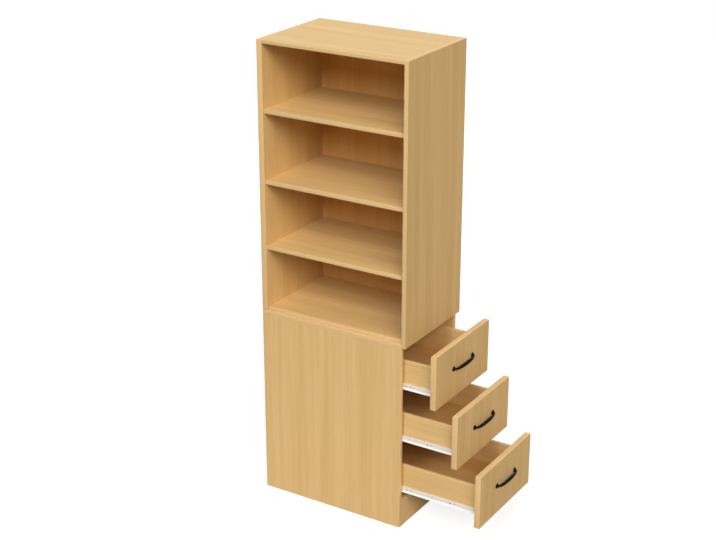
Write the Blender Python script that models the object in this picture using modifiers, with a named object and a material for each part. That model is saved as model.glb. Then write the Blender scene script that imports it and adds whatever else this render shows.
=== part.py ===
"""Tall open shelving unit in light wood laminate, over a box whose three drawers slide out sideways.

The carcass is two stacked boxes. The upper box has four open compartments and faces -Y. The lower box
shows a plain panel on that side, and its drawers leave through its right end, along +X. Each drawer runs
on a pair of white roller runners. The drawers stand open by different amounts, the lowest one the most.

Metres, +Z up. The origin is on the floor, in the middle of the footprint with the drawers open like that.
Pieces are placed in the carcass frame: X from the outer face of the left side, Y from the front edge,
Z from the floor.
"""

import math

import bmesh
import bpy
from mathutils import Matrix, Vector

# Overall size of the carcass
HEIGHT = 2.000
WIDTH = 0.695
DEPTH = 0.455

# Boards
BOARD = 0.018
END_BOARD = 0.025
UPPER_BOX_BOARD = 0.015
FRONT_BOARD = 0.025
DRAWER_BOARD = 0.015
THIN_BOARD = 0.006
EDGE_ROUNDING = 0.0008

# Gap between pieces that touch, also of a thin board in its groove
GAP = 0.0003
GROOVE_DEPTH = 0.008
DRAWER_GROOVE_DEPTH = 0.0075
# How far a cutter runs past the face that it opens
PAST = 0.002

# Upper box: how far each shelf lies from where four equal compartments would put it
LOW_SHELF_SHIFT = -0.011
MIDDLE_SHELF_SHIFT = -0.013
HIGH_SHELF_SHIFT = -0.001
SHELF_RECESS = 0.009
BACK_RECESS = 0.022

# Lower box
LOWER_HEIGHT = 0.826
LOWER_INSET = 0.018
PLINTH_HEIGHT = 0.120

# Drawers: how far each one stands open, and what stays inside when one is pulled right out
TOP_OPEN_BY = 0.133
MIDDLE_OPEN_BY = 0.236
BOTTOM_OPEN_BY = 0.347
KEPT_INSIDE = 0.152
LOWEST_FRONT = 0.1125
FRONT_SPACING = 0.0035
FRONT_STANDOFF = 0.002
FRONT_SIDE_MARGIN = 0.002
BOX_ABOVE_FRONT_EDGE = 0.0465
BOX_BELOW_FRONT_TOP = 0.0625
BOTTOM_ABOVE_BOX_EDGE = 0.012
DRAWER_BACK_ROOM = 0.050

# Roller runners
RUNNER_SPACE = 0.013
RUNNER_HEIGHT = 0.026
RUNNER_SETBACK = 0.003
RUNNER_CLEARANCE = 0.0006
SHEET = 0.0012
ROLLER_INSET = 0.014
ROLLER_ROUNDING = 0.0008
ROLLER_SIDES = 24
AXLE_RADIUS = 0.0025
AXLE_PLAY = 0.0003
RIVET_RADIUS = 0.0042
RIVET_HEIGHT = 0.0006
RIVET_SIDES = 16
SCREW_HOLES = 5
SCREW_HOLE_RADIUS = 0.0026
SCREW_HOLE_INSET = 0.107
SCREW_HOLE_SPACING = 0.103
SCREW_HOLE_SIDES = 10
STOP_HEIGHT = 0.0125

# Bow handles
HANDLE_CENTRES = 0.160
HANDLE_REACH = 0.0195
HANDLE_RADIUS = 0.0050
HANDLE_HALF_HEIGHT = 0.0076
HANDLE_NECK_RADIUS = 0.0042
HANDLE_SQUARENESS = 3.2
HANDLE_STEPS = 24
FOOT_RADIUS = 0.0105
FOOT_TOP_RADIUS = 0.0080
FOOT_HEIGHT = 0.0045
FOOT_SIDES = 20
HANDLE_RISE = 0.0125

# Sizes that follow
LOWER_RIGHT = WIDTH - LOWER_INSET
UPPER_FLOOR = LOWER_HEIGHT + BOARD + UPPER_BOX_BOARD
UPPER_CEILING = HEIGHT - UPPER_BOX_BOARD
BACK_FACE = DEPTH - BACK_RECESS - THIN_BOARD
SHELF_SHIFTS = (LOW_SHELF_SHIFT, MIDDLE_SHELF_SHIFT, HIGH_SHELF_SHIFT)
OPEN_BY = (TOP_OPEN_BY, MIDDLE_OPEN_BY, BOTTOM_OPEN_BY)
DRAWERS = len(OPEN_BY)
FRONT_RUN = LOWER_HEIGHT - LOWEST_FRONT - FRONT_SPACING * DRAWERS
FRONT_HEIGHT = FRONT_RUN / DRAWERS
FRONT_BACK = LOWER_RIGHT + FRONT_STANDOFF
DRAWER_REAR = END_BOARD + DRAWER_BACK_ROOM
TRAVEL = FRONT_BACK - DRAWER_REAR - KEPT_INSIDE
BOX_NEAR = BOARD + RUNNER_SPACE
BOX_FAR = DEPTH - BOX_NEAR
BETWEEN_WEBS = RUNNER_SPACE - 2 * GAP - 2 * SHEET
LIP = (BETWEEN_WEBS - RUNNER_CLEARANCE) / 2
ROLLER_WIDTH = BETWEEN_WEBS - 2 * GAP - RIVET_HEIGHT - RUNNER_CLEARANCE
ROLLER_RADIUS = RUNNER_HEIGHT / 2 - SHEET - GAP
HANDLE_FACE = FRONT_BACK + FRONT_BOARD + GAP
REACH = HANDLE_FACE + max(OPEN_BY) + HANDLE_REACH + HANDLE_RADIUS

# Colours and finishes: base colour, roughness, metallic
FINISHES = {
    "wood_laminate": ((0.66, 0.44, 0.20), 0.45, 0.0),
    "thin_wood_board": ((0.60, 0.39, 0.18), 0.55, 0.0),
    "white_coated_steel": ((0.90, 0.89, 0.86), 0.35, 0.0),
    "white_nylon": ((0.85, 0.85, 0.83), 0.45, 0.0),
    "black_metal": ((0.012, 0.010, 0.009), 0.42, 0.6),
}

parts = bpy.data.collections.new("shelving_unit")
cutters = bpy.data.collections.new("cutters")
materials = {}


def clear_scene():
    for item in list(bpy.data.objects):
        bpy.data.objects.remove(item, do_unlink=True)
    bpy.context.scene.collection.children.link(parts)
    bpy.context.scene.collection.children.link(cutters)


def finish(name):
    """The material of that name, made the first time it is asked for."""
    if name not in materials:
        colour, roughness, metallic = FINISHES[name]
        material = bpy.data.materials.new(name)
        material.use_nodes = True
        shader = material.node_tree.nodes["Principled BSDF"]
        shader.inputs["Base Color"].default_value = (*colour, 1.0)
        shader.inputs["Roughness"].default_value = roughness
        shader.inputs["Metallic"].default_value = metallic
        materials[name] = material
    return materials[name]


def add_piece(name, mesh, material, parent, place):
    """Puts a mesh in the scene as a named piece, with its origin at place in its parent's frame."""
    piece = bpy.data.objects.new(name, mesh)
    piece.data.materials.append(finish(material))
    piece.parent = parent
    piece.location = place
    parts.objects.link(piece)
    return piece


def add_cutter(name, mesh, parent, place):
    cutter = bpy.data.objects.new(name, mesh)
    cutter.parent = parent
    cutter.location = place
    cutter.display_type = "WIRE"
    cutter.hide_render = True
    cutters.objects.link(cutter)
    return cutter


def block_mesh(name, size):
    bm = bmesh.new()
    bmesh.ops.create_cube(bm, size=1.0, matrix=Matrix.Diagonal((*size, 1.0)))
    mesh = bpy.data.meshes.new(name)
    bm.to_mesh(mesh)
    bm.free()
    return mesh


def centre_and_size(x, y, z):
    """Turns three (low, high) pairs into a centre and a size."""
    low = Vector((x[0], y[0], z[0]))
    high = Vector((x[1], y[1], z[1]))
    return (low + high) / 2, high - low


def board(name, parent, x, y, z, material="wood_laminate", grooves=()):
    """A flat board with slightly rounded edges, cut by grooves that are (x, y, z) ranges."""
    centre, size = centre_and_size(x, y, z)
    piece = add_piece(name, block_mesh(name, size), material, parent, centre)
    for number, groove in enumerate(grooves):
        groove_centre, groove_size = centre_and_size(*groove)
        label = f"{name}_groove_{number}"
        cutter = add_cutter(label, block_mesh(label, groove_size), parent, groove_centre)
        cut(piece, cutter, "DIFFERENCE")
    bevel = piece.modifiers.new("edge_rounding", "BEVEL")
    bevel.width = EDGE_ROUNDING
    bevel.segments = 1
    bevel.limit_method = "ANGLE"
    return piece


def cut(piece, tool, operation):
    boolean = piece.modifiers.new(tool.name, "BOOLEAN")
    boolean.object = tool
    boolean.operation = operation
    boolean.solver = "EXACT"


def foot_mesh(name):
    """A low cone along X, wide at the drawer front and narrower where the bar grows out of it."""
    bm = bmesh.new()
    bmesh.ops.create_cone(
        bm, cap_ends=True, segments=FOOT_SIDES, radius1=FOOT_RADIUS, radius2=FOOT_TOP_RADIUS,
        depth=FOOT_HEIGHT, matrix=Matrix.Rotation(math.pi / 2, 4, "Y"),
    )
    mesh = bpy.data.meshes.new(name)
    bm.to_mesh(mesh)
    bm.free()
    return mesh


def mesh_from_curve(curve_object):
    """The closed mesh of a filled or bevelled curve, with its caps welded on; the curve is removed."""
    bpy.context.view_layer.update()
    evaluated = curve_object.evaluated_get(bpy.context.evaluated_depsgraph_get())
    mesh = bpy.data.meshes.new_from_object(evaluated)
    mesh.transform(curve_object.matrix_world)
    bpy.data.objects.remove(curve_object, do_unlink=True)
    bm = bmesh.new()
    bm.from_mesh(mesh)
    bmesh.ops.remove_doubles(bm, verts=bm.verts, dist=0.00001)
    bmesh.ops.recalc_face_normals(bm, faces=bm.faces)
    bm.to_mesh(mesh)
    bm.free()
    mesh.materials.clear()
    return mesh


def add_empty(name, place, parent=None):
    empty = bpy.data.objects.new(name, None)
    empty.location = place
    empty.parent = parent
    parts.objects.link(empty)
    return empty


def back_groove(x, z):
    """The groove that holds the upper back panel, across the given ranges."""
    return (x, (BACK_FACE - GAP, BACK_FACE + THIN_BOARD + GAP), z)


def upper_box(unit):
    """Two sides and a top, a floor and three shelves set back a little, and a thin back in grooves."""
    lowest_side = LOWER_HEIGHT + BOARD + GAP
    inner_left = END_BOARD
    inner_right = WIDTH - BOARD
    across = (inner_left + GAP, inner_right - GAP)
    deep = (0.0, DEPTH)
    floor_low = UPPER_FLOOR - UPPER_BOX_BOARD + GAP
    rise = (UPPER_FLOOR - GROOVE_DEPTH, UPPER_CEILING + GROOVE_DEPTH)
    wide = (inner_left - GROOVE_DEPTH, inner_right + GROOVE_DEPTH)

    left_groove = back_groove((inner_left - GROOVE_DEPTH, inner_left + PAST), rise)
    board("left_side", unit, (0.0, END_BOARD), deep, (lowest_side, HEIGHT), grooves=[left_groove])
    right_groove = back_groove((inner_right - PAST, inner_right + GROOVE_DEPTH), rise)
    board("right_side", unit, (inner_right, WIDTH), deep, (LOWER_HEIGHT, HEIGHT), grooves=[right_groove])

    top_groove = back_groove(wide, (UPPER_CEILING - PAST, UPPER_CEILING + GROOVE_DEPTH))
    board("top_panel", unit, across, deep, (UPPER_CEILING, HEIGHT), grooves=[top_groove])
    floor_groove = back_groove(wide, (UPPER_FLOOR - GROOVE_DEPTH, UPPER_FLOOR + PAST))
    board(
        "upper_floor", unit, across, (SHELF_RECESS, DEPTH), (floor_low, UPPER_FLOOR), grooves=[floor_groove],
    )

    even_spacing = (UPPER_CEILING - UPPER_FLOOR + BOARD) / (len(SHELF_SHIFTS) + 1)
    for number, shift in enumerate(SHELF_SHIFTS, start=1):
        shelf_top = UPPER_FLOOR + number * even_spacing + shift
        shelf_depth = (SHELF_RECESS, BACK_FACE - GAP)
        board(f"shelf_{number}", unit, across, shelf_depth, (shelf_top - BOARD, shelf_top))

    board(
        "upper_back", unit, (wide[0] + GAP, wide[1] - GAP), (BACK_FACE, BACK_FACE + THIN_BOARD),
        (rise[0] + GAP, rise[1] - GAP), "thin_wood_board",
    )


def lower_box(unit):
    """A full-width front panel and a rear panel, with a left side, a top, a floor and a plinth between."""
    panel_top = LOWER_HEIGHT - GAP
    between = (BOARD + GAP, DEPTH - BOARD - GAP)
    floor_top = PLINTH_HEIGHT
    board("lower_front_panel", unit, (0.0, LOWER_RIGHT), (0.0, BOARD), (0.0, panel_top))
    board("lower_rear_panel", unit, (0.0, LOWER_RIGHT), (DEPTH - BOARD, DEPTH), (0.0, panel_top))
    board("lower_left_side", unit, (0.0, END_BOARD), between, (0.0, panel_top))
    board("lower_top", unit, (0.0, WIDTH - BOARD - GAP), (0.0, DEPTH), (LOWER_HEIGHT, LOWER_HEIGHT + BOARD))
    plinth_back = LOWER_RIGHT - BOARD
    board("lower_floor", unit, (END_BOARD + GAP, plinth_back - GAP), between, (floor_top - BOARD, floor_top))
    board("plinth", unit, (plinth_back, LOWER_RIGHT), between, (0.0, floor_top))


def channel_mesh(name, length, opening):
    """A steel channel along X from its rear end, its web at Y = 0 and its lips towards opening (+1 or -1)."""
    half = RUNNER_HEIGHT / 2
    outline = [
        (0.0, -half), (SHEET + LIP, -half), (SHEET + LIP, SHEET - half), (SHEET, SHEET - half),
        (SHEET, half - SHEET), (SHEET + LIP, half - SHEET), (SHEET + LIP, half), (0.0, half),
    ]
    curve = bpy.data.curves.new(name, "CURVE")
    curve.dimensions = "2D"
    curve.fill_mode = "BOTH"
    curve.extrude = length / 2
    spline = curve.splines.new("POLY")
    spline.points.add(len(outline) - 1)
    for point, (across, up) in zip(spline.points, outline):
        point.co = (across * opening, up, 0.0, 1.0)
    spline.use_cyclic_u = True
    drawn = bpy.data.objects.new(name, curve)
    # The outline's own X becomes Y, its Y becomes Z, and it is extruded along X
    drawn.matrix_world = Matrix(((0, 0, 1, length / 2), (1, 0, 0, 0), (0, 1, 0, 0), (0, 0, 0, 1)))
    parts.objects.link(drawn)
    return mesh_from_curve(drawn)


def turned(holder, profile, steps):
    """Spins a closed outline of (radius, across) points about the Y axis of the object that holds it."""
    bm = bmesh.new()
    ring = [bm.verts.new((radius, across, 0.0)) for radius, across in profile]
    for start, end in zip(ring, ring[1:] + ring[:1]):
        bm.edges.new((start, end))
    bm.to_mesh(holder.data)
    bm.free()
    turn = holder.modifiers.new("turned", "SCREW")
    turn.axis = "Y"
    turn.steps = steps
    turn.render_steps = steps
    turn.use_merge_vertices = True
    turn.merge_threshold = 0.00001
    turn.use_normal_calculate = True


def hole_row_mesh(name, length):
    """A row of short pins, set out from a runner's front end, which cut the screw holes in its web."""
    turn = Matrix.Rotation(-math.pi / 2, 4, "X")
    bm = bmesh.new()
    for number in range(SCREW_HOLES):
        from_front = SCREW_HOLE_INSET + number * SCREW_HOLE_SPACING
        place = Matrix.Translation((length - from_front, 0.0, 0.0))
        bmesh.ops.create_cone(
            bm, cap_ends=True, segments=SCREW_HOLE_SIDES, radius1=SCREW_HOLE_RADIUS,
            radius2=SCREW_HOLE_RADIUS, depth=2 * (SHEET + PAST), matrix=place @ turn,
        )
    mesh = bpy.data.meshes.new(name)
    bm.to_mesh(mesh)
    bm.free()
    return mesh


def runner(name, parent, rear, length, web_outside, opening, level, roller_at, stop_at=None):
    """One runner: a channel with screw holes, a riveted axle for its roller, and a tab that stops the other."""
    place = Vector((rear, web_outside, level))
    piece = add_piece(name, channel_mesh(name, length, opening), "white_coated_steel", parent, place)
    holes = add_cutter(f"{name}_holes", hole_row_mesh(f"{name}_holes", length), parent, place)
    cut(piece, holes, "DIFFERENCE")
    head = SHEET + 2 * GAP + ROLLER_WIDTH
    profile = [
        (0.0, SHEET / 2), (AXLE_RADIUS, SHEET / 2), (AXLE_RADIUS, head), (RIVET_RADIUS, head),
        (RIVET_RADIUS, head + RIVET_HEIGHT), (0.0, head + RIVET_HEIGHT),
    ]
    spot = place + Vector((roller_at - rear, 0.0, 0.0))
    axle = add_cutter(f"{name}_axle", bpy.data.meshes.new(f"{name}_axle"), parent, spot)
    turned(axle, [(radius, across * opening) for radius, across in profile], RIVET_SIDES)
    cut(piece, axle, "UNION")
    if stop_at is not None:
        size = (SHEET, LIP + SHEET / 2, STOP_HEIGHT)
        spot = place + Vector((stop_at + SHEET / 2 - rear, opening * (SHEET + LIP / 2 - SHEET / 4), 0.0))
        cut(piece, add_cutter(f"{name}_stop", block_mesh(f"{name}_stop", size), parent, spot), "UNION")
    return piece


def roller(name, parent, place):
    """A nylon roller that turns about Y on its axle, with its origin on that axis."""
    half = ROLLER_WIDTH / 2
    bore = AXLE_RADIUS + AXLE_PLAY
    flat = half - ROLLER_ROUNDING
    rim = ROLLER_RADIUS - ROLLER_ROUNDING
    profile = [
        (bore, -half), (bore, half), (rim, half), (ROLLER_RADIUS, flat), (ROLLER_RADIUS, -flat), (rim, -half),
    ]
    piece = add_piece(name, bpy.data.meshes.new(name), "white_nylon", parent, place)
    turned(piece, profile, ROLLER_SIDES)
    return piece


def handle(name, parent, place):
    """A bow handle: a bar that widens to an upright oval in the middle, on two round feet, along +X."""
    half = HANDLE_CENTRES / 2
    curve = bpy.data.curves.new(name, "CURVE")
    curve.dimensions = "3D"
    curve.bevel_depth = HANDLE_RADIUS
    curve.bevel_resolution = 2
    curve.use_fill_caps = True
    spline = curve.splines.new("POLY")
    spline.points.add(HANDLE_STEPS)
    lowest = math.asin((FOOT_HEIGHT / 2 / HANDLE_REACH) ** (HANDLE_SQUARENESS / 2))
    for number, point in enumerate(spline.points):
        # A superellipse, from just above one foot, over the flat middle, to just above the other
        angle = lowest + (math.pi - 2 * lowest) * number / HANDLE_STEPS
        out = math.sin(angle) ** (2 / HANDLE_SQUARENESS)
        along = math.copysign(abs(math.cos(angle)) ** (2 / HANDLE_SQUARENESS), -math.cos(angle))
        point.co = (out * HANDLE_REACH, along * half, 0.0, 1.0)
        swell = (HANDLE_RADIUS - HANDLE_NECK_RADIUS) * (1.0 - along ** 4)
        point.radius = (HANDLE_NECK_RADIUS + swell) / HANDLE_RADIUS
    drawn = bpy.data.objects.new(name, curve)
    parts.objects.link(drawn)
    bar = mesh_from_curve(drawn)
    for vertex in bar.vertices:
        along = min(abs(vertex.co.y) / half, 1.0)
        vertex.co.z *= 1.0 + (HANDLE_HALF_HEIGHT / HANDLE_RADIUS - 1.0) * (1.0 - along ** 4)
    piece = add_piece(name, bar, "black_metal", parent, place)
    for side in (-1, 1):
        label = f"{name}_foot_{side + 2}"
        spot = place + Vector((FOOT_HEIGHT / 2, side * half, 0.0))
        cut(piece, add_cutter(label, foot_mesh(label), parent, spot), "UNION")
    return piece


def drawer_boards(name, drawer, low_edge):
    """The front, two sides, the back and the bottom, in the place they have with the drawer shut."""
    box_low = low_edge + BOX_ABOVE_FRONT_EDGE
    box_high = low_edge + FRONT_HEIGHT - BOX_BELOW_FRONT_TOP
    tall = (box_low, box_high)
    rear = (DRAWER_REAR, DRAWER_REAR + DRAWER_BOARD)
    bottom = (box_low + BOTTOM_ABOVE_BOX_EDGE, box_low + BOTTOM_ABOVE_BOX_EDGE + THIN_BOARD)
    slot_height = (bottom[0] - GAP, bottom[1] + GAP)
    inner_near = BOX_NEAR + DRAWER_BOARD
    inner_far = BOX_FAR - DRAWER_BOARD
    along = (rear[1] - DRAWER_GROOVE_DEPTH, FRONT_BACK + DRAWER_GROOVE_DEPTH)
    across = (inner_near - DRAWER_GROOVE_DEPTH, inner_far + DRAWER_GROOVE_DEPTH)

    front_faces = (FRONT_BACK, FRONT_BACK + FRONT_BOARD)
    board(
        f"{name}_front", drawer, front_faces, (FRONT_SIDE_MARGIN, DEPTH - FRONT_SIDE_MARGIN),
        (low_edge, low_edge + FRONT_HEIGHT),
        grooves=[((FRONT_BACK - PAST, along[1]), across, slot_height)],
    )
    side_run = (rear[0], FRONT_BACK - GAP)
    side_groove = (along[0], FRONT_BACK + PAST)
    board(
        f"{name}_near_side", drawer, side_run, (BOX_NEAR, inner_near), tall,
        grooves=[(side_groove, (across[0], inner_near + PAST), slot_height)],
    )
    board(
        f"{name}_far_side", drawer, side_run, (inner_far, BOX_FAR), tall,
        grooves=[(side_groove, (inner_far - PAST, across[1]), slot_height)],
    )
    board(
        f"{name}_back", drawer, rear, (inner_near + GAP, inner_far - GAP), tall,
        grooves=[((along[0], rear[1] + PAST), across, slot_height)],
    )
    board(
        f"{name}_bottom", drawer, (along[0] + GAP, along[1] - GAP), (across[0] + GAP, across[1] - GAP),
        bottom, "thin_wood_board",
    )


def drawer_runners(name, unit, drawer, low_edge):
    """On each side a cabinet runner on the panel and a drawer runner on the box, a roller on each."""
    level = low_edge + BOX_ABOVE_FRONT_EDGE + RUNNER_HEIGHT / 2
    cabinet_front = LOWER_RIGHT - RUNNER_SETBACK
    cabinet_rear = DRAWER_REAR - RUNNER_SETBACK
    drawer_front = FRONT_BACK - GAP
    for side, panel_face, box_face, inward in (
        ("near", BOARD, BOX_NEAR, 1), ("far", DEPTH - BOARD, BOX_FAR, -1),
    ):
        cabinet_web = panel_face + inward * GAP
        cabinet_roller = cabinet_front - ROLLER_INSET
        drawer_roller = DRAWER_REAR + ROLLER_INSET
        runner(
            f"{name}_{side}_cabinet_runner", unit, cabinet_rear, cabinet_front - cabinet_rear,
            cabinet_web, inward, level, cabinet_roller, drawer_roller + TRAVEL + ROLLER_RADIUS + GAP,
        )
        across = cabinet_web + inward * (SHEET + GAP + ROLLER_WIDTH / 2)
        roller(f"{name}_{side}_front_roller", unit, Vector((cabinet_roller, across, level)))

        drawer_web = box_face - inward * GAP
        runner(
            f"{name}_{side}_drawer_runner", drawer, DRAWER_REAR, drawer_front - DRAWER_REAR,
            drawer_web, -inward, level, drawer_roller,
        )
        across = drawer_web - inward * (SHEET + GAP + ROLLER_WIDTH / 2)
        roller(f"{name}_{side}_rear_roller", drawer, Vector((drawer_roller, across, level)))


def build():
    clear_scene()
    unit = add_empty("unit_corner", (-REACH / 2, -DEPTH / 2, 0.0))
    upper_box(unit)
    lower_box(unit)
    for number, (name, opening) in enumerate(zip(("top", "middle", "bottom"), OPEN_BY)):
        drawer = add_empty(f"{name}_drawer_slide", (opening, 0.0, 0.0), unit)
        low_edge = LOWEST_FRONT + (DRAWERS - 1 - number) * (FRONT_HEIGHT + FRONT_SPACING)
        drawer_boards(name, drawer, low_edge)
        drawer_runners(name, unit, drawer, low_edge)
        middle = low_edge + FRONT_HEIGHT / 2 + HANDLE_RISE
        handle(f"{name}_handle", drawer, Vector((HANDLE_FACE, DEPTH / 2, middle)))


build()
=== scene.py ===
import math

import bmesh
import bpy
from mathutils import Matrix, Vector


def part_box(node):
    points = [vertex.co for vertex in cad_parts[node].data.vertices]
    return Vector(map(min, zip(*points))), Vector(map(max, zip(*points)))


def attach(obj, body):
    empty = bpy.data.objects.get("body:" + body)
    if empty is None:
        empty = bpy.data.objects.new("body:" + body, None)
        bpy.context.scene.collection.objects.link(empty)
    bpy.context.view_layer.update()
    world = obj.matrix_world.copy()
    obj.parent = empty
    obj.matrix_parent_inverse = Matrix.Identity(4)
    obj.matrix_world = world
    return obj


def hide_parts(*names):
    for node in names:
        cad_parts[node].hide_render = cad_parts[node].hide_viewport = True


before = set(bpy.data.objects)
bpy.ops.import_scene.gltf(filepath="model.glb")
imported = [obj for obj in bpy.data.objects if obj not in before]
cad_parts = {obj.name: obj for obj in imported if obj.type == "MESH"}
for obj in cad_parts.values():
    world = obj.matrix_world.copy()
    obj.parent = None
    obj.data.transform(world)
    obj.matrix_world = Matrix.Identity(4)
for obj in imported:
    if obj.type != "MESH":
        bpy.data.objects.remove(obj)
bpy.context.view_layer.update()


# Camera: about 6 m from the unit, at its front right and higher than its top, and looking down at it.
# Its place, tilt and lens were fitted to the unit's straight edges.
camera = bpy.data.objects.new("camera", bpy.data.cameras.new("camera"))
camera.data.sensor_width = 36.0
camera.data.lens = 76.25
camera.location = (2.9165, -4.9972, 3.3592)
camera.rotation_euler = (math.radians(68.307), 0.0, math.radians(32.0045))
bpy.context.scene.collection.objects.link(camera)
bpy.context.scene.camera = camera
bpy.context.scene.view_settings.view_transform = "Standard"


# Studio: a pale floor and surround under nine wide, far lamps: warm ones at the front right and right,
# neutral ones in front and behind, cool ones above and at the left. Floor and surround are white to the
# camera and in reflections, where the floor is dimmer because the unit itself shades it.
WHITE = (1.0, 1.0, 1.0, 1.0)


def add_node(tree, kind, inputs=(), **settings):
    """A shader node with its settings; each input is given a value, or a socket to link it to."""
    made = tree.nodes.new(kind)
    for name, value in settings.items():
        setattr(made, name, value)
    for name, value in dict(inputs).items():
        if isinstance(value, bpy.types.NodeSocket):
            tree.links.new(value, made.inputs[name])
        else:
            made.inputs[name].default_value = value
    return made


def reckon(tree, operation, *values):
    """The result of one Math node on values or sockets."""
    return add_node(tree, "ShaderNodeMath", dict(enumerate(values)), operation=operation).outputs[0]


def white_when_seen(tree, mirrored_share, lit, white):
    """The lit shader, or the white one for camera and clear rays and, by a share, for glossy ones."""
    path = add_node(tree, "ShaderNodeLightPath").outputs
    mirrored = reckon(tree, "MULTIPLY", path["Is Glossy Ray"], mirrored_share)
    seen = reckon(tree, "MAXIMUM", path["Is Camera Ray"], mirrored)
    seen = reckon(tree, "MAXIMUM", seen, path["Is Transmission Ray"])
    choice = add_node(tree, "ShaderNodeMixShader", {0: seen, 1: lit.outputs[0], 2: white.outputs[0]})
    return choice.outputs[0]


SURROUND_COLOUR = (1.0, 0.98, 0.95, 1.0)
SURROUND_LIGHT = 0.01
SURROUND_MIRRORED = 1.0
surround = bpy.data.worlds.new("surround")
surround.use_nodes = True
bpy.context.scene.world = surround
tree = surround.node_tree
tree.nodes.clear()
faint = add_node(tree, "ShaderNodeBackground", {"Color": SURROUND_COLOUR, "Strength": SURROUND_LIGHT})
white = add_node(tree, "ShaderNodeBackground", {"Color": WHITE, "Strength": 1.0})
shown = white_when_seen(tree, SURROUND_MIRRORED, faint, white)
add_node(tree, "ShaderNodeOutputWorld", {"Surface": shown})

FLOOR_SIZE = 18.0
FLOOR_COLOUR = (0.30, 0.30, 0.30, 1.0)
FLOOR_LIFT = 0.80
FLOOR_MIRRORED = 0.3
bpy.ops.object.select_all(action="DESELECT")
bpy.ops.mesh.primitive_plane_add(size=FLOOR_SIZE)
floor = bpy.context.object
floor.name = floor.data.name = "studio_floor"
paint = bpy.data.materials.new("studio_floor")
paint.use_nodes = True
tree = paint.node_tree
tree.nodes.clear()
matt = add_node(tree, "ShaderNodeBsdfDiffuse", {"Color": FLOOR_COLOUR})
glow = add_node(tree, "ShaderNodeEmission", {"Color": WHITE, "Strength": FLOOR_LIFT})
bright = add_node(tree, "ShaderNodeAddShader", {0: matt.outputs[0], 1: glow.outputs[0]})
shown = white_when_seen(tree, FLOOR_MIRRORED, matt, bright)
add_node(tree, "ShaderNodeOutputMaterial", {"Surface": shown})
floor.data.materials.append(paint)

WARM = (1.0, 0.93, 0.82)
NEUTRAL = (0.99, 1.0, 1.05)
COOL = (0.92, 1.0, 1.12)
# Azimuth, elevation and width are in degrees. Azimuth is counted from straight in front of the shelves
# towards the drawers' end.
for name, azimuth, elevation, width, strength, colour in (
    ("key_high", 35.0, 41.0, 20.0, 0.66, WARM),
    ("key_low", 35.0, 28.0, 18.0, 0.45, WARM),
    ("front_high", 5.0, 44.0, 22.0, 0.68, NEUTRAL),
    ("front_low", 5.0, 30.0, 16.0, 0.67, NEUTRAL),
    ("right_light", 60.0, 30.0, 30.0, 1.22, WARM),
    ("end_light", 85.0, 30.0, 40.0, 0.1, WARM),
    ("top_light", 0.0, 85.0, 40.0, 0.40, COOL),
    ("left_light", -95.0, 30.0, 40.0, 1.15, COOL),
    ("rear_light", 180.0, 15.0, 20.0, 0.85, NEUTRAL),
):
    light = bpy.data.objects.new(name, bpy.data.lights.new(name, "SUN"))
    light.data.angle = math.radians(width)
    light.data.energy = strength
    light.data.color = colour
    light.rotation_euler = (math.radians(90.0 - elevation), 0.0, math.radians(azimuth))
    bpy.context.scene.collection.objects.link(light)


# Sides of the upper box: chipboard faced with printed laminate, the grain upright, and every edge
# covered by a 1 mm band that is rounded over. The left side is 25 mm thick, the right one 18 mm.
BAND = 0.0010
BAND_ROUNDING = 0.0008
JOINT = 0.00006
PLAY = 0.0003
SHARP_ANGLE = math.radians(40.0)
# The least part of a face's normal along an axis, and of a board's side that its main face covers
FLAT = 0.99
MOST = 0.9
# The print comes on sheets 3 m by 3 m, and each side of each board is cut from another place of one
PRINT_SHEET = 3.0
CUTS_TO_A_BOARD = 7
CUT_STRIDES = (0.618, 0.414)
RELIEF_DEPTH = 0.0001
GROUP_RESULTS = {"Colour": "Color", "Roughness": "Float", "Height": "Float"}
X, Y, Z = range(3)
laid_boards = []


def new_group(name, inputs, outputs):
    """A node group with named sockets, what comes in by them, and the inputs for its results."""
    group = bpy.data.node_groups.new(name, "ShaderNodeTree")
    for way, sockets in (("INPUT", inputs), ("OUTPUT", outputs)):
        for socket, kind in sockets.items():
            group.interface.new_socket(socket, in_out=way, socket_type=f"NodeSocket{kind}")
    given = add_node(group, "NodeGroupInput").outputs
    result = add_node(group, "NodeGroupOutput").inputs
    return group, given, result


def mixed_colour(tree, share, first, second, blend="MIX"):
    mix = add_node(
        tree, "ShaderNodeMix", {0: share, 6: first, 7: second}, data_type="RGBA", blend_type=blend
    )
    return mix.outputs[2]


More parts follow.
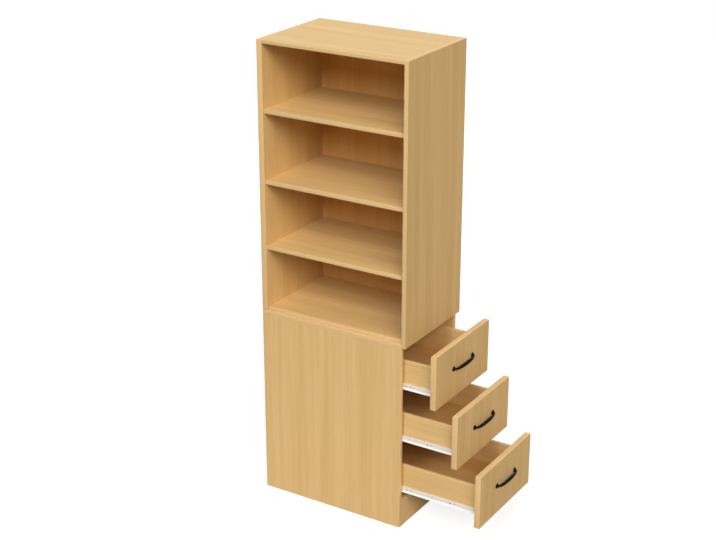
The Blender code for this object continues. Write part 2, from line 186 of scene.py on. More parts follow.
def wood_print_group():
    """The printed grain. Place is metres across and along it; all else is how strong each part is."""
    strengths = {"Bands": "Float", "Streaks": "Float", "Rings": "Float", "Pores": "Float"}
    group, given, result = new_group(
        "wood_print", {"Place": "Vector", "Light": "Color", "Dark": "Color", **strengths}, GROUP_RESULTS
    )

    def stretched(place, across, along, detail):
        """Noise with so many patches to the metre across and along the grain."""
        scaled = add_node(
            group, "ShaderNodeVectorMath", {0: place, 1: (across, along, 1.0)}, operation="MULTIPLY"
        )
        pattern = add_node(
            group, "ShaderNodeTexNoise",
            {"Vector": scaled.outputs[0], "Scale": 1.0, "Detail": detail, "Roughness": 0.6},
            noise_dimensions="2D",
        )
        return pattern.outputs[0]

    # The whole print wanders sideways by a few millimetres along its length
    wander_width = 0.03
    drift = stretched(given["Place"], across=5.0, along=1.1, detail=1.0)
    wander = reckon(group, "MULTIPLY_ADD", drift, wander_width, -wander_width / 2)
    sideways = add_node(group, "ShaderNodeCombineXYZ", {"X": wander}).outputs[0]
    place = add_node(
        group, "ShaderNodeVectorMath", {0: given["Place"], 1: sideways}, operation="ADD"
    ).outputs[0]
    # Broad bands a hand wide, and narrower ones within them
    broad = reckon(group, "SUBTRACT", stretched(place, across=15.0, along=0.6, detail=1.0), 0.5)
    narrow = reckon(group, "SUBTRACT", stretched(place, across=55.0, along=0.9, detail=3.0), 0.5)
    bands = reckon(group, "ADD", broad, narrow)
    streaks = reckon(group, "SUBTRACT", stretched(place, across=520.0, along=9.0, detail=2.0), 0.5)
    # Growth rings: lines about 9 mm apart that close into long pointed arches here and there
    radians_per_metre = 700.0
    arch_radians = 60.0
    across = add_node(group, "ShaderNodeSeparateXYZ", {0: place}).outputs[0]
    swirl = stretched(place, across=2.6, along=0.55, detail=1.0)
    swirl = reckon(group, "MULTIPLY", swirl, arch_radians)
    rings = reckon(group, "SINE", reckon(group, "MULTIPLY_ADD", across, radians_per_metre, swirl))
    pores = add_node(
        group, "ShaderNodeMapRange",
        {
            "Value": stretched(place, across=1500.0, along=60.0, detail=0.0),
            "From Min": 0.62, "From Max": 0.74,
        },
    ).outputs[0]

    tone = 0.5
    for pattern, name in ((bands, "Bands"), (streaks, "Streaks"), (rings, "Rings")):
        tone = reckon(group, "MULTIPLY_ADD", pattern, given[name], tone)
    tone = reckon(group, "SUBTRACT", tone, reckon(group, "MULTIPLY", pores, given["Pores"]))
    colour = mixed_colour(group, tone, given["Dark"], given["Light"])
    base_roughness = 0.44
    streak_roughness = 0.12
    pore_roughness = 0.10
    rough = reckon(group, "MULTIPLY_ADD", pores, pore_roughness, base_roughness)
    rough = reckon(group, "MULTIPLY_ADD", streaks, streak_roughness, rough)
    height = reckon(group, "MULTIPLY_ADD", pores, -1.0, streaks)
    for name, output in (("Colour", colour), ("Roughness", rough), ("Height", height)):
        group.links.new(output, result[name])
    return group


wood_print = wood_print_group()


def new_material(name):
    """A material, its node tree, and the inputs of its shader."""
    material = bpy.data.materials.new(name)
    material.use_nodes = True
    tree = material.node_tree
    return material, tree, tree.nodes["Principled BSDF"].inputs


def feed_shader(tree, shader, surface, bump):
    """Leads a surface's colour and roughness into the shader, and its height as fine relief."""
    relief = add_node(
        tree, "ShaderNodeBump",
        {"Strength": bump, "Distance": RELIEF_DEPTH, "Height": surface.outputs["Height"]},
    )
    tree.links.new(surface.outputs["Colour"], shader["Base Color"])
    tree.links.new(surface.outputs["Roughness"], shader["Roughness"])
    tree.links.new(relief.outputs[0], shader["Normal"])


def printed_material(name, light, dark, bands, streaks, rings, pores, bump):
    """A surface with the printed grain, laid by the piece's own map "print"."""
    material, tree, shader = new_material(name)
    place = add_node(tree, "ShaderNodeUVMap", uv_map="print").outputs[0]
    printed = add_node(
        tree, "ShaderNodeGroup",
        {
            "Place": place, "Light": light, "Dark": dark, "Bands": bands, "Streaks": streaks,
            "Rings": rings, "Pores": pores,
        },
        node_tree=wood_print,
    )
    feed_shader(tree, shader, printed, bump)
    shader["Specular IOR Level"].default_value = 0.1
    return material


FACE_GRAIN = {"bands": 1.3, "streaks": 0.9, "rings": 0.08, "pores": 0.25, "bump": 0.25}
laminate = printed_material(
    "printed_laminate", (0.773, 0.531, 0.245, 1.0), (0.682, 0.448, 0.183, 1.0), **FACE_GRAIN
)
edge_band = printed_material(
    "edge_band", (0.795, 0.550, 0.268, 1.0), (0.727, 0.487, 0.223, 1.0),
    bands=0.4, streaks=0.5, rings=0.0, pores=0.2, bump=0.15,
)


def chip_material():
    """The chipboard inside a board, which shows only in its grooves."""
    material, tree, shader = new_material("chipboard_core")
    place = add_node(tree, "ShaderNodeTexCoord").outputs["Object"]
    chips = add_node(tree, "ShaderNodeTexVoronoi", {"Vector": place, "Scale": 420.0})
    chips = chips.outputs["Distance"]
    colour = mixed_colour(tree, chips, (0.50, 0.36, 0.22, 1.0), (0.30, 0.20, 0.11, 1.0))
    relief = add_node(tree, "ShaderNodeBump", {"Distance": 0.0003, "Height": chips})
    tree.links.new(colour, shader["Base Color"])
    tree.links.new(relief.outputs[0], shader["Normal"])
    shader["Roughness"].default_value = 0.9
    return material


chipboard = chip_material()


def add_block(name, low, high):
    """A block between two corners, with its object at the origin, and nothing else selected."""
    bpy.ops.object.select_all(action="DESELECT")
    bpy.ops.mesh.primitive_cube_add(size=1.0, location=(low + high) / 2, scale=high - low)
    block = bpy.context.object
    block.name = block.data.name = name
    bpy.ops.object.transform_apply(location=True, rotation=True, scale=True)
    return block


def pick(piece, kind, wanted):
    """In edit mode: selects the faces or edges for which wanted says yes, and nothing else."""
    bpy.ops.mesh.select_mode(type="FACE" if kind == "faces" else "EDGE")
    bpy.ops.mesh.select_all(action="DESELECT")
    shape = bmesh.from_edit_mesh(piece.data)
    for item in getattr(shape, kind):
        if wanted(item):
            item.select_set(True)
    bmesh.update_edit_mesh(piece.data)


def paint_picked(piece, slot):
    """In edit mode: gives the selected faces the material in that slot."""
    piece.active_material_index = slot
    bpy.ops.object.material_slot_assign()


def thinnest_axis(piece):
    size = piece.dimensions
    return min(range(3), key=lambda axis: size[axis])


def shape_board(node):
    """A faced board: rounded bands on all its edges, and a hair-fine joint between band and face."""
    board = add_block(f"{node}_board", *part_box(node))
    for material in (laminate, edge_band, chipboard):
        board.data.materials.append(material)
    thin = thinnest_axis(board)
    wide_area = MOST * board.dimensions[(thin + 1) % 3] * board.dimensions[(thin + 2) % 3]
    bpy.ops.object.mode_set(mode="EDIT")
    bpy.ops.mesh.select_all(action="SELECT")
    paint_picked(board, 1)
    bpy.ops.mesh.bevel(offset=BAND_ROUNDING, segments=3, affect="EDGES")
    pick(board, "faces", lambda face: abs(face.normal[thin]) > FLAT and face.calc_area() > wide_area)
    bpy.ops.mesh.inset(thickness=BAND - BAND_ROUNDING, depth=0.0)
    bpy.ops.mesh.inset(thickness=JOINT, depth=-JOINT)
    bpy.ops.mesh.inset(thickness=JOINT, depth=JOINT)
    paint_picked(board, 0)
    bpy.ops.object.mode_set(mode="OBJECT")
    return board


def apply_modifiers(piece):
    bpy.context.view_layer.objects.active = piece
    for modifier in list(piece.modifiers):
        bpy.ops.object.modifier_apply(modifier=modifier.name)


def combine(piece, tool, operation):
    """Cuts a tool out of a piece, or joins it on; the tool's own material comes with it."""
    boolean = piece.modifiers.new("combine", "BOOLEAN")
    boolean.object = tool
    boolean.operation = operation
    boolean.solver = "EXACT"
    boolean.material_mode = "TRANSFER"
    apply_modifiers(piece)
    bpy.data.objects.remove(tool, do_unlink=True)


def cut_groove(board, panel):
    """The groove that holds a thin panel, cut with a little play all round it."""
    low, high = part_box(panel)
    play = Vector((PLAY, PLAY, PLAY))
    cutter = add_block("groove_cutter", low - play, high + play)
    cutter.data.materials.append(chipboard)
    combine(board, cutter, "DIFFERENCE")


def lay_print(board, grain):
    """Lays the print in metres: along the grain on the two sides, and along each edge on its band."""
    thin = thinnest_axis(board)
    layer = board.data.uv_layers[0]
    layer.name = "print"
    for face in board.data.polygons:
        facing = max(range(3), key=lambda axis: abs(face.normal[axis]))
        along = grain if facing == thin else 3 - facing - thin
        across = 3 - facing - along
        cut = CUTS_TO_A_BOARD * len(laid_boards) + 2 * facing + (face.normal[facing] > 0)
        shift = Vector([(cut * stride) % 1.0 for stride in CUT_STRIDES]) * PRINT_SHEET
        for corner in face.loop_indices:
            point = board.data.vertices[board.data.loops[corner].vertex_index].co
            layer.data[corner].uv = (point[across] + shift.x, point[along] + shift.y)
    laid_boards.append(board)


def select_only(piece):
    bpy.ops.object.select_all(action="DESELECT")
    piece.select_set(True)
    bpy.context.view_layer.objects.active = piece


def fit(piece, body, node=None):
    """The finished piece moves with its body and stands for the CAD node named."""
    select_only(piece)
    bpy.ops.object.shade_smooth_by_angle(angle=SHARP_ANGLE)
    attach(piece, body)
    if node:
        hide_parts(node)


def finish_board(board, node, grain, body):
    lay_print(board, grain)
    fit(board, body, node)


def faced_board(node, grain, body="carcass", panel=None):
    """A whole faced board, with a groove for a thin panel where one is named."""
    board = shape_board(node)
    if panel:
        cut_groove(board, panel)
    finish_board(board, node, grain, body)


for side in ("left_side", "right_side"):
    faced_board(side, Z, panel="upper_back")


# Top and floor of the upper box: 15 mm boards between the sides, the grain lengthways. Both are
# grooved for the back panel.
for level in ("top_panel", "upper_floor"):
    faced_board(level, X, panel="upper_back")


# Shelves: three 18 mm faced boards between the sides, the grain lengthways. They are set back a little
# at the front and stop at the back panel.
for number in (1, 2, 3):
    faced_board(f"shelf_{number}", X)


# Back panel: thin board with the print of the same wood, its colour made slightly redder as painted
# shade, the deep red shade inside the boxes. The grain is upright. It stands in grooves all round, so
# its cut edges are bare.
PANEL_ROUNDING = 0.0004
NEARLY_FLAT = 0.9
painted_shade_thin_print = printed_material(
    "painted_shade_thin_board_print", (0.800, 0.482, 0.188, 1.0), (0.706, 0.406, 0.141, 1.0), **FACE_GRAIN
)


def thin_panel(node, grain, body="carcass"):
    panel = add_block(f"{node}_panel", *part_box(node))
    for material in (painted_shade_thin_print, chipboard):
        panel.data.materials.append(material)
    thin = thinnest_axis(panel)
    bpy.ops.object.mode_set(mode="EDIT")
    bpy.ops.mesh.select_all(action="SELECT")
    bpy.ops.mesh.bevel(offset=PANEL_ROUNDING, segments=2, affect="EDGES")
    pick(panel, "faces", lambda face: abs(face.normal[thin]) < NEARLY_FLAT)
    paint_picked(panel, 1)
    bpy.ops.object.mode_set(mode="OBJECT")
    lay_print(panel, grain)
    fit(panel, body, node)


thin_panel("upper_back", Z)


# Lower box: a closed front panel, a rear panel and a left side that stand on the floor, with the
# top board, the floor board and the plinth between or on them. Its right end is open for drawers.
for upright in ("lower_front_panel", "lower_rear_panel", "lower_left_side"):
    faced_board(upright, Z)
for level in ("lower_top", "lower_floor"):
    faced_board(level, X)
faced_board("plinth", Y)


# Drawer boxes: a 25 mm front with upright grain, two sides and a back with the grain lengthways,
# and a thin bottom in grooves all round. The sides are drilled behind the runners' screw holes.
DRAWERS = ("top", "middle", "bottom")
SIDES = ("near", "far")
HOLES = 5
FIRST_HOLE = 0.107
HOLE_SPACING = 0.103
PILOT_RADIUS = 0.0025
PILOT_DEPTH = 0.011
DRILL_CLEARANCE = 0.002


def add_pin(name, radius, low, high, sides, material):
    """A pin along Y whose axis passes through x and z of the two points, which give its ends."""
    bpy.ops.object.select_all(action="DESELECT")
    bpy.ops.mesh.primitive_cylinder_add(
        vertices=sides, radius=radius, depth=abs(high.y - low.y), location=(low + high) / 2,
        rotation=(math.pi / 2, 0.0, 0.0),
    )
    pin = bpy.context.object
    pin.name = pin.data.name = name
    bpy.ops.object.transform_apply(location=True, rotation=True, scale=True)
    pin.data.materials.append(material)
    return pin


def repeat_back(pin):
    """Repeats a pin at the spacing of the screw holes, towards the rear."""
    row = pin.modifiers.new("row", "ARRAY")
    row.use_relative_offset = False
    row.use_constant_offset = True
    row.constant_offset_displace = (-HOLE_SPACING, 0.0, 0.0)
    row.count = HOLES
    apply_modifiers(pin)


def drill(board, runner):
    """Pilot holes in a drawer side, from the face that its runner is screwed to."""
    low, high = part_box(runner)
    outward = 1 if low.y > 0.0 else -1
    face_y = low.y if outward > 0 else high.y
    at = Vector((high.x - FIRST_HOLE, face_y, (low.z + high.z) / 2))
    into_board = Vector((0.0, -outward * PILOT_DEPTH, 0.0))
    past_face = Vector((0.0, outward * DRILL_CLEARANCE, 0.0))
    bit = add_pin("drill", PILOT_RADIUS, at + into_board, at + past_face, 16, chipboard)
    repeat_back(bit)
    combine(board, bit, "DIFFERENCE")


for drawer in DRAWERS:
    body = f"{drawer}_drawer"
    bottom = f"{drawer}_bottom"
    faced_board(f"{drawer}_front", Z, body, bottom)
    for side in SIDES:
        node = f"{drawer}_{side}_side"
        board = shape_board(node)
        cut_groove(board, bottom)
        drill(board, f"{drawer}_{side}_drawer_runner")
        finish_board(board, node, X, body)
    faced_board(f"{drawer}_back", Y, body, bottom)
    # The bottom takes the thin board's print too, made redder as painted shade.
    thin_panel(bottom, X, body)


# Drawer runners: 1.2 mm steel strip bent to a channel and coated white, screwed through its web to
# the board behind it. An axle with a flattened head is riveted in near one end for the roller.
STRIP = 0.0012
STRIP_ROUNDING = 0.00015
CHANNEL_DEPTH = 0.0059
BEND_RADIUS = 0.0018
HOLE_RADIUS = 0.0026
AXLE_RADIUS = 0.0025
AXLE_INSET = 0.014
RIVET_RADIUS = 0.0042
RIVET_HEIGHT = 0.0006
STOP_FROM_REAR = 0.4808
STOP_HEIGHT = 0.0125


def coat_texture_group():
    """The slight orange peel of a sprayed or baked coat, on the piece's own coordinates."""
    group, given, result = new_group(
        "coat_texture",
        {"Roughness": "Float", "Spread": "Float", "Light": "Color", "Dark": "Color"}, GROUP_RESULTS,
    )
    place = add_node(group, "ShaderNodeTexCoord").outputs["Object"]
    peel = add_node(group, "ShaderNodeTexNoise", {"Vector": place, "Scale": 900.0, "Detail": 2.0})
    patches = add_node(group, "ShaderNodeTexNoise", {"Vector": place, "Scale": 38.0, "Detail": 3.0})
    patches = patches.outputs[0]
    colour = mixed_colour(group, patches, given["Dark"], given["Light"])
    uneven = reckon(group, "MULTIPLY_ADD", patches, given["Spread"], given["Roughness"])
    for name, output in (("Colour", colour), ("Roughness", uneven), ("Height", peel.outputs[0])):
        group.links.new(output, result[name])
    return group


coat_texture = coat_texture_group()


def coated_material(name, light, dark, roughness, spread, bump, metallic=0.0):
    """A coat or a moulded surface with slight orange peel and faintly uneven colour."""
    material, tree, shader = new_material(name)
    coat = add_node(
        tree, "ShaderNodeGroup",
        {"Light": light, "Dark": dark, "Roughness": roughness, "Spread": spread},
        node_tree=coat_texture,
    )
    feed_shader(tree, shader, coat, bump)
    shader["Metallic"].default_value = metallic
    return material


def paint_shade_along_middle(material, shade_colour, start, end):
    """Greys the coat where the map "height" is nearer to the middle of the strip than start: painted
    shade, which the upper lip casts on the recessed web.
    """
    tree = material.node_tree
    shader = tree.nodes["Principled BSDF"]
    coat_colour = shader.inputs["Base Color"].links[0].from_socket
    place = add_node(tree, "ShaderNodeUVMap", uv_map="height").outputs[0]
    height = add_node(tree, "ShaderNodeSeparateXYZ", {0: place}).outputs["Y"]
    edge = add_node(
        tree, "ShaderNodeMapRange",
        {"Value": reckon(tree, "ABSOLUTE", height), "From Min": start, "From Max": end},
        interpolation_type="SMOOTHSTEP",
    )
    shade = mixed_colour(tree, edge.outputs[0], shade_colour, WHITE)
    shaded = mixed_colour(tree, 1.0, coat_colour, shade, "MULTIPLY")
    tree.links.new(shaded, shader.inputs["Base Color"])


white_coat = coated_material(
    "white_coat", (0.90, 0.88, 0.86, 1.0), (0.87, 0.85, 0.83, 1.0),
    roughness=0.30, spread=0.12, bump=0.3,
)
# The grey middle of the runners' web is painted shade from the upper lip over the recessed web; the
# coat itself is white.
paint_shade_along_middle(white_coat, (0.82, 0.81, 0.84, 1.0), start=0.10, end=0.38)
bare_steel = coated_material(
    "zinc_plating", (0.42, 0.42, 0.41, 1.0), (0.32, 0.32, 0.31, 1.0),
    roughness=0.40, spread=0.15, bump=0.2, metallic=1.0,
)


def finish_shape():
    """Leaves edit mode with all faces pointing outwards."""
    bpy.ops.mesh.select_all(action="SELECT")
    bpy.ops.mesh.normals_make_consistent(inside=False)
    bpy.ops.object.mode_set(mode="OBJECT")


def bent_channel(name, low, high, web_y, opening):
    """Bends a strip with its web at web_y, its lips towards opening (+1 or -1), from low to high."""
    bpy.ops.object.select_all(action="DESELECT")
    bpy.ops.mesh.primitive_plane_add(
        size=1.0, location=((low.x + high.x) / 2, web_y, (low.z + high.z) / 2),
        rotation=(math.pi / 2 * opening, 0.0, 0.0),
    )
    channel = bpy.context.object
    channel.name = channel.data.name = name
    channel.scale = (high.x - low.x, high.z - low.z, 1.0)
    bpy.ops.object.transform_apply(location=True, rotation=True, scale=True)
    channel.data.materials.append(white_coat)
    bpy.ops.object.mode_set(mode="EDIT")

    def is_long(edge):
        return abs(edge.verts[0].co.x - edge.verts[1].co.x) > (high.x - low.x) / 2

    def is_bend(edge):
        return is_long(edge) and abs(edge.verts[0].co.y - web_y) < STRIP / 2

    pick(channel, "edges", is_long)
    bpy.ops.mesh.extrude_edges_move(
        TRANSFORM_OT_translate={"value": (0.0, CHANNEL_DEPTH * opening, 0.0)}
    )
    pick(channel, "edges", is_bend)
    bpy.ops.mesh.bevel(offset=BEND_RADIUS, segments=3, affect="EDGES")
    finish_shape()
    web = max(channel.data.polygons, key=lambda face: face.area)
    wall = channel.modifiers.new("wall", "SOLIDIFY")
    wall.thickness = STRIP
    wall.offset = -1.0 if web.normal.y * opening < 0 else 1.0
    wall.use_flip_normals = wall.offset > 0
    apply_modifiers(channel)
    return channel


def punch_holes(channel, front, centre_z, web_y):
    """The row of round screw holes in the web, set out from the runner's front end."""
    at = Vector((front - FIRST_HOLE, web_y, centre_z))
    reach = Vector((0.0, 4 * STRIP, 0.0))
    punch = add_pin("punch", HOLE_RADIUS, at - reach, at + reach, 20, white_coat)
    repeat_back(punch)
    combine(channel, punch, "DIFFERENCE")


def rivet_axle(channel, at_x, centre_z, web_y, head_y):
    """The axle stands on the web; its end is spread to a flat, rounded head."""
    inward = 1 if head_y > web_y else -1
    start = Vector((at_x, web_y + inward * STRIP / 2, centre_z))
    neck = Vector((at_x, head_y - inward * RIVET_HEIGHT, centre_z))
    axle = add_pin("axle", AXLE_RADIUS, start, neck, 24, bare_steel)
    bpy.ops.object.mode_set(mode="EDIT")
    pick(axle, "faces", lambda face: face.normal.y * inward > NEARLY_FLAT)
    bpy.ops.mesh.extrude_region_move(TRANSFORM_OT_translate={"value": (0.0, 0.0, 0.0)})
    spread = RIVET_RADIUS / AXLE_RADIUS
    bpy.ops.transform.resize(value=(spread, 1.0, spread))
    bpy.ops.mesh.extrude_region_move(
        TRANSFORM_OT_translate={"value": (0.0, inward * RIVET_HEIGHT, 0.0)}
    )
    bpy.ops.mesh.bevel(offset=RIVET_HEIGHT / 2, segments=2, affect="EDGES")
    finish_shape()
    combine(channel, axle, "UNION")


def shape_runner(kind, opening):
    """The near runner of the top drawer, its lips towards opening: +1 or -1 along Y."""
    node = f"top_near_{kind}_runner"
    low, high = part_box(node)
    web_y, head_y = (low.y, high.y) if opening > 0 else (high.y, low.y)
    centre_z = (low.z + high.z) / 2
    channel = bent_channel(f"{node}_steel", low, high, web_y, opening)
    punch_holes(channel, high.x, centre_z, web_y)
    # A cabinet runner has its roller at the front, a drawer runner at the rear
    axle_x = high.x - AXLE_INSET if kind == "cabinet" else low.x + AXLE_INSET
    rivet_axle(channel, axle_x, centre_z, web_y, head_y)
    return channel


def add_stop(channel):
    """A tab bent up from the cabinet runner's web stops the drawer's rear roller at full opening."""
    low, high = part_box("top_near_cabinet_runner")
    tab_low = Vector((
        low.x + STOP_FROM_REAR, low.y + STRIP / 2, (low.z + high.z) / 2 - STOP_HEIGHT / 2,
    ))
    tab_size = Vector((STRIP, CHANNEL_DEPTH - STRIP / 2, STOP_HEIGHT))
    tab = add_block("stop", tab_low, tab_low + tab_size)
    tab.data.materials.append(white_coat)
    combine(channel, tab, "UNION")


def soften_edges(channel):
    edge = channel.modifiers.new("edge", "BEVEL")
    edge.width = STRIP_ROUNDING
    edge.segments = 1
    edge.limit_method = "ANGLE"
    edge.angle_limit = SHARP_ANGLE
    apply_modifiers(channel)


def lay_height(channel):
    """Lays the map "height": -1 at the lower lip, 1 at the upper one."""
    heights = [vertex.co.z for vertex in channel.data.vertices]
    middle = (max(heights) + min(heights)) / 2
    half = (max(heights) - min(heights)) / 2
    layer = channel.data.uv_layers[0]
    layer.name = "height"
    for corner in channel.data.loops:
        point = channel.data.vertices[corner.vertex_index].co
        layer.data[corner.index].uv = (point.x, (point.z - middle) / half)


def copy_to(original, name, move, mirrored=False):
    """A copy with its own mesh, shifted by move, and turned to its mirror image for the far side."""
    copy = original.copy()
    copy.data = original.data.copy()
    copy.name = copy.data.name = name
    bpy.context.scene.collection.objects.link(copy)
    if mirrored:
        copy.data.transform(Matrix.Diagonal((1.0, -1.0, 1.0, 1.0)))
        copy.data.flip_normals()
    copy.data.transform(Matrix.Translation(move))
    return copy


def corner_shift(node, from_node):
    """How far a node lies from another one, along X and Z."""
    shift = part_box(node)[0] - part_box(from_node)[0]
    return Vector((shift.x, 0.0, shift.z))


def runner_body(kind, drawer):
    """Cabinet runners are screwed to the lower box, drawer runners to their drawer."""
    return "carcass" if kind == "cabinet" else f"{drawer}_drawer"


cabinet_channel = shape_runner("cabinet", 1)
add_stop(cabinet_channel)
drawer_channel = shape_runner("drawer", -1)
for channel in (cabinet_channel, drawer_channel):
    soften_edges(channel)
    lay_height(channel)

for drawer in DRAWERS:
    for side in SIDES:
        for kind, original in (("cabinet", cabinet_channel), ("drawer", drawer_channel)):
            node = f"{drawer}_{side}_{kind}_runner"
            channel = original
            if (drawer, side) != ("top", "near"):
                move = corner_shift(node, f"top_near_{kind}_runner")
                channel = copy_to(original, f"{node}_steel", move, side == "far")
            fit(channel, runner_body(kind, drawer), node)


# Rollers: moulded nylon wheels, 23 mm across, that turn on the runners' axles. Each has a raised rim
# and hub on both sides.
RIM = 0.0020
TREAD_ROUNDING = 0.0008
STEP = 0.0007
HUB_RADIUS = 0.0052
BORE_RADIUS = 0.0028
nylon = coated_material(
    "white_nylon_moulding", (0.84, 0.84, 0.81, 1.0), (0.78, 0.78, 0.74, 1.0),
    roughness=0.42, spread=0.1, bump=0.1,
)


def centre_of(node):
    low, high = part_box(node)
    return (low + high) / 2


def shape_roller(node):
    low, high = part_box(node)
    centre = centre_of(node)
    radius = (high.x - low.x) / 2
    ends = [Vector((centre.x, y, centre.z)) for y in (low.y, high.y)]
    wheel = add_pin(f"{node}_wheel", radius, *ends, 48, nylon)
    bpy.ops.object.mode_set(mode="EDIT")

    def is_cap(face):
        return abs(face.normal.y) > NEARLY_FLAT

    pick(wheel, "edges", lambda edge: any(is_cap(face) for face in edge.link_faces))
    bpy.ops.mesh.bevel(offset=TREAD_ROUNDING, segments=3, affect="EDGES")
    pick(wheel, "faces", lambda face: is_cap(face) and face.calc_area() > radius ** 2)
    bpy.ops.mesh.inset(thickness=RIM - TREAD_ROUNDING)
    bpy.ops.mesh.inset(thickness=STEP / 2, depth=-STEP)
    bpy.ops.mesh.inset(thickness=radius - RIM - STEP / 2 - HUB_RADIUS - STEP / 2)
    bpy.ops.mesh.inset(thickness=STEP / 2, depth=STEP)
    bpy.ops.mesh.inset(thickness=HUB_RADIUS - BORE_RADIUS)
    bpy.ops.mesh.bridge_edge_loops()
    finish_shape()
    return wheel


FIRST_ROLLER = "top_near_front_roller"
wheel = shape_roller(FIRST_ROLLER)
for drawer in DRAWERS:
    for side in SIDES:
        for end in ("front", "rear"):
            node = f"{drawer}_{side}_{end}_roller"
            roller = wheel
            if node != FIRST_ROLLER:
                roller = copy_to(wheel, f"{node}_wheel", centre_of(node) - centre_of(FIRST_ROLLER))
            fit(roller, node, node)


# Runner screws: zinc-plated, with a cross recess, three to each runner beside its first, third and
# last hole. The heads are so low that the other runner and its rivets pass over them.
SCREW_RADIUS = 0.0034
SCREW_HEIGHT = 0.0004
SCREW_PAST_HOLE = 0.019
SCREW_SUNK = 0.0004
SCREWED_HOLES = (0, 2, 4)
# Shares of a screw head's height and radius
HEAD_ROUNDING = 0.6
RECESS_DEPTH = 0.6
RECESS_REACH = 0.55
RECESS_HALF_WIDTH = 0.12


def shape_screw(name, centre, inward, radius, height):
    """A screw head that stands on the surface at centre and points inward, +1 or -1 along Y."""
    foot = centre - Vector((0.0, inward * SCREW_SUNK, 0.0))
    top = centre + Vector((0.0, inward * height, 0.0))
    screw = add_pin(name, radius, foot, top, 24, bare_steel)
    bpy.ops.object.mode_set(mode="EDIT")
    pick(screw, "faces", lambda face: face.normal.y * inward > NEARLY_FLAT)
    bpy.ops.mesh.bevel(offset=height * HEAD_ROUNDING, segments=3, affect="EDGES")
    bpy.ops.object.mode_set(mode="OBJECT")
    for turn in (0.0, math.pi / 2):
        half_length = radius * RECESS_REACH
        half_width = radius * RECESS_HALF_WIDTH
        length = Vector((half_length * math.cos(turn), 0.0, half_length * math.sin(turn)))
        width = Vector((half_width * math.sin(turn), 0.0, half_width * math.cos(turn)))
        reach = length + width + Vector((0.0, height * RECESS_DEPTH, 0.0))
        recess = add_block("recess", top - reach, top + reach)
        recess.data.materials.append(bare_steel)
        combine(screw, recess, "DIFFERENCE")
    return screw


def place_runner_screws(kind, inward):
    """Heads on the web of the near runner of the top drawer; the other runners get copies."""
    low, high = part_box(f"top_near_{kind}_runner")
    web_y = low.y if inward > 0 else high.y
    spots = {}
    for hole in SCREWED_HOLES:
        x = high.x - FIRST_HOLE - hole * HOLE_SPACING - SCREW_PAST_HOLE
        spots[hole] = Vector((x, web_y + inward * STRIP, (low.z + high.z) / 2))
    first = shape_screw(f"top_near_{kind}_screw_0", spots[0], inward, SCREW_RADIUS, SCREW_HEIGHT)
    for hole, spot in spots.items():
        for drawer in DRAWERS:
            for side in SIDES:
                if (drawer, side, hole) == ("top", "near", 0):
                    continue
                name = f"{drawer}_{side}_{kind}_screw_{hole}"
                move = corner_shift(f"{drawer}_{side}_{kind}_runner", f"top_near_{kind}_runner")
                screw = copy_to(first, name, spot - spots[0] + move, side == "far")
                fit(screw, runner_body(kind, drawer))
    fit(first, runner_body(kind, "top"))


place_runner_screws("cabinet", 1)
place_runner_screws("drawer", -1)


# Handles: one bow handle on each drawer front, cast in one with its two round feet and coated
# black. The bar widens to an upright oval in the middle; two screws hold it from inside the front.
HANDLE_CENTRES = 0.160
HANDLE_REACH = 0.0195
HANDLE_RADIUS = 0.0050
HANDLE_HALF_HEIGHT = 0.0090
NECK_RADIUS = 0.0042
HANDLE_SQUARENESS = 2.5
BAR_START = 0.0076
BAR_STEPS = 56
MERGE_DISTANCE = 0.00001
HANDLE_SCREW_RADIUS = 0.0040
HANDLE_SCREW_HEIGHT = 0.0022
# Distance from the drawer front and radius, from a foot's base to its neck
FOOT_PROFILE = (
    (0.0, 0.0099), (0.0003, 0.0104), (0.0010, 0.0105), (0.0028, 0.0103), (0.0038, 0.0097),
    (0.0045, 0.0086), (0.0050, 0.0074), (0.0055, 0.0060), (0.0060, 0.0051), (0.0068, 0.0045),
)

black_coat = coated_material(
    "black_coat", (0.007, 0.004, 0.003, 1.0), (0.004, 0.002, 0.0015, 1.0),
    roughness=0.45, spread=0.18, bump=0.4,
)
black_coat.node_tree.nodes["Principled BSDF"].inputs["Specular IOR Level"].default_value = 0.05


def bar_route():
    """Points (out, along) and radii of the handle from the base of one foot to that of the other."""
    half = HANDLE_CENTRES / 2
    foot = [((out, -half), radius) for out, radius in FOOT_PROFILE]
    other_foot = [((out, half), radius) for out, radius in reversed(FOOT_PROFILE)]
    power = 2 / HANDLE_SQUARENESS
    start = math.asin((BAR_START / HANDLE_REACH) ** (HANDLE_SQUARENESS / 2))
    end = math.cos(start) ** power
    bar = []
    for step in range(BAR_STEPS + 1):
        angle = start + (math.pi - 2 * start) * step / BAR_STEPS
        out = HANDLE_REACH * math.sin(angle) ** power
        along = math.copysign(abs(math.cos(angle)) ** power / end, -math.cos(angle))
        swell = (HANDLE_RADIUS - NECK_RADIUS) * (1.0 - along ** 2)
        bar.append(((out, along * half), NECK_RADIUS + swell))
    return foot + bar + other_foot


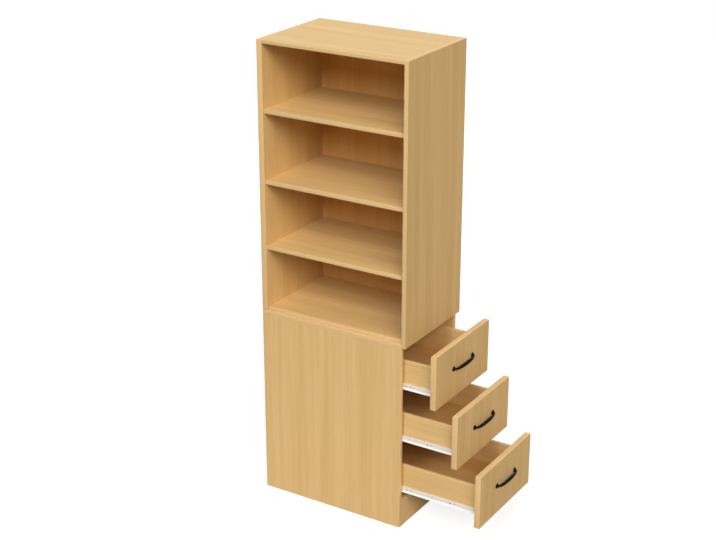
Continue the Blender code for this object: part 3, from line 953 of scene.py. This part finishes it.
def shape_handle(name, node):
    low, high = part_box(node)
    base = Vector((low.x, (low.y + high.y) / 2, (low.z + high.z) / 2))
    curve = bpy.data.curves.new(name, "CURVE")
    curve.dimensions = "3D"
    curve.bevel_depth = HANDLE_RADIUS
    curve.bevel_resolution = 6
    curve.use_fill_caps = True
    route = bar_route()
    spline = curve.splines.new("POLY")
    spline.points.add(len(route) - 1)
    for point, ((out, along), radius) in zip(spline.points, route):
        point.co = (base.x + out, base.y + along, base.z, 1.0)
        point.radius = radius / HANDLE_RADIUS
    handle = bpy.data.objects.new(name, curve)
    bpy.context.scene.collection.objects.link(handle)
    select_only(handle)
    bpy.ops.object.convert(target="MESH")
    handle = bpy.context.object
    handle.name = handle.data.name = name
    handle.data.materials.clear()
    handle.data.materials.append(black_coat)
    bpy.ops.object.mode_set(mode="EDIT")
    bpy.ops.mesh.select_all(action="SELECT")
    bpy.ops.mesh.remove_doubles(threshold=MERGE_DISTANCE)
    finish_shape()
    # The round bar is stretched upwards and downwards, most of all in the middle
    for vertex in handle.data.vertices:
        along = min(abs(vertex.co.y - base.y) / (HANDLE_CENTRES / 2), 1.0)
        taller = (HANDLE_HALF_HEIGHT / HANDLE_RADIUS - 1.0) * (1.0 - along ** 2)
        vertex.co.z += (vertex.co.z - base.z) * taller
    return handle


handle = shape_handle("top_bow_handle", "top_handle")
handle_screw = shape_screw(
    "handle_screw", Vector(), -1, HANDLE_SCREW_RADIUS, HANDLE_SCREW_HEIGHT
)
handle_screw.data.transform(Matrix.Rotation(-math.pi / 2, 4, "Z"))
for drawer in DRAWERS:
    node = f"{drawer}_handle"
    piece = handle
    if drawer != "top":
        piece = copy_to(handle, f"{drawer}_bow_handle", corner_shift(node, "top_handle"))
    fit(piece, f"{drawer}_drawer", node)
    inner_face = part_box(f"{drawer}_front")[0].x
    centre = centre_of(node)
    for side, along in (("near", -HANDLE_CENTRES / 2), ("far", HANDLE_CENTRES / 2)):
        at = Vector((inner_face, centre.y + along, centre.z))
        fit(copy_to(handle_screw, f"{drawer}_{side}_handle_screw", at), f"{drawer}_drawer")
bpy.data.objects.remove(handle_screw, do_unlink=True)
